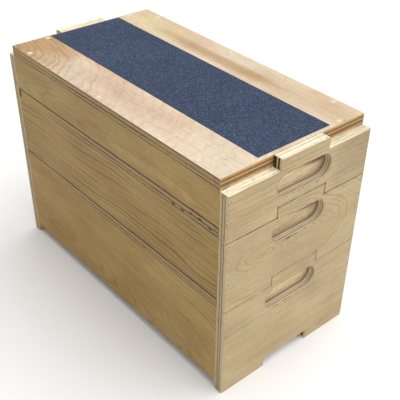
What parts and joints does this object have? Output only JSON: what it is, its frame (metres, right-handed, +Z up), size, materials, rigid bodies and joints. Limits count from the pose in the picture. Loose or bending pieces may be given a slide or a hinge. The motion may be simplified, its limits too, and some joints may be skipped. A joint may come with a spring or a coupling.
{
  "type": "stacking mounting block",
  "caption": "Stacking plywood mounting block: interlocking open-bottomed risers with end hand slots and tabs, and an anti-slip grit strip on the top tread.",
  "frame": {"origin": "centre of the stack's footprint, on the floor", "axes": "+X along the block to the right end, +Y from the front long side to the back, +Z up"},
  "size_m": [0.66, 0.33, 0.4582],
  "materials": {
    "face_plywood": "clear satin lacquer on hardwood-faced plywood",
    "grit_tape": "matt slate-blue mineral grit on tape",
    "screw_steel": "zinc plated"
  },
  "bodies": {
    "bottom_riser": {"bottom_tread": "face_plywood", "bottom_front_panel": "face_plywood", "bottom_back_panel": "face_plywood", "bottom_left_inner_end": "face_plywood", "bottom_right_inner_end": "face_plywood", "bottom_left_end_panel": "face_plywood", "bottom_right_end_panel": "face_plywood", "bottom_front_screw_1": "screw_steel", "bottom_front_screw_2": "screw_steel", "bottom_front_screw_3": "screw_steel", "bottom_back_screw_1": "screw_steel", "bottom_back_screw_2": "screw_steel", "bottom_back_screw_3": "screw_steel", "bottom_left_screw_1": "screw_steel", "bottom_left_screw_2": "screw_steel", "bottom_right_screw_1": "screw_steel", "bottom_right_screw_2": "screw_steel"},
    "middle_riser": {"middle_tread": "face_plywood", "middle_front_panel": "face_plywood", "middle_back_panel": "face_plywood", "middle_left_inner_end": "face_plywood", "middle_right_inner_end": "face_plywood", "middle_left_end_panel": "face_plywood", "middle_right_end_panel": "face_plywood", "middle_front_screw_1": "screw_steel", "middle_front_screw_2": "screw_steel", "middle_front_screw_3": "screw_steel", "middle_back_screw_1": "screw_steel", "middle_back_screw_2": "screw_steel", "middle_back_screw_3": "screw_steel", "middle_left_screw_1": "screw_steel", "middle_left_screw_2": "screw_steel", "middle_right_screw_1": "screw_steel", "middle_right_screw_2": "screw_steel"},
    "top_riser": {"top_tread": "face_plywood", "top_front_panel": "face_plywood", "top_back_panel": "face_plywood", "top_left_inner_end": "face_plywood", "top_right_inner_end": "face_plywood", "top_left_end_panel": "face_plywood", "top_right_end_panel": "face_plywood", "top_front_screw_1": "screw_steel", "top_front_screw_2": "screw_steel", "top_front_screw_3": "screw_steel", "top_back_screw_1": "screw_steel", "top_back_screw_2": "screw_steel", "top_back_screw_3": "screw_steel", "top_left_screw_1": "screw_steel", "top_left_screw_2": "screw_steel", "top_right_screw_1": "screw_steel", "top_right_screw_2": "screw_steel", "grit_strip": "grit_tape"}
  },
  "joints": [
    {"name": "middle_lift", "type": "slide", "parent": "bottom_riser", "child": "middle_riser", "axis": [0, 0, 1], "range_m": [0, 0.12]},
    {"name": "top_lift", "type": "slide", "parent": "middle_riser", "child": "top_riser", "axis": [0, 0, 1], "range_m": [0, 0.12]}
  ]
}
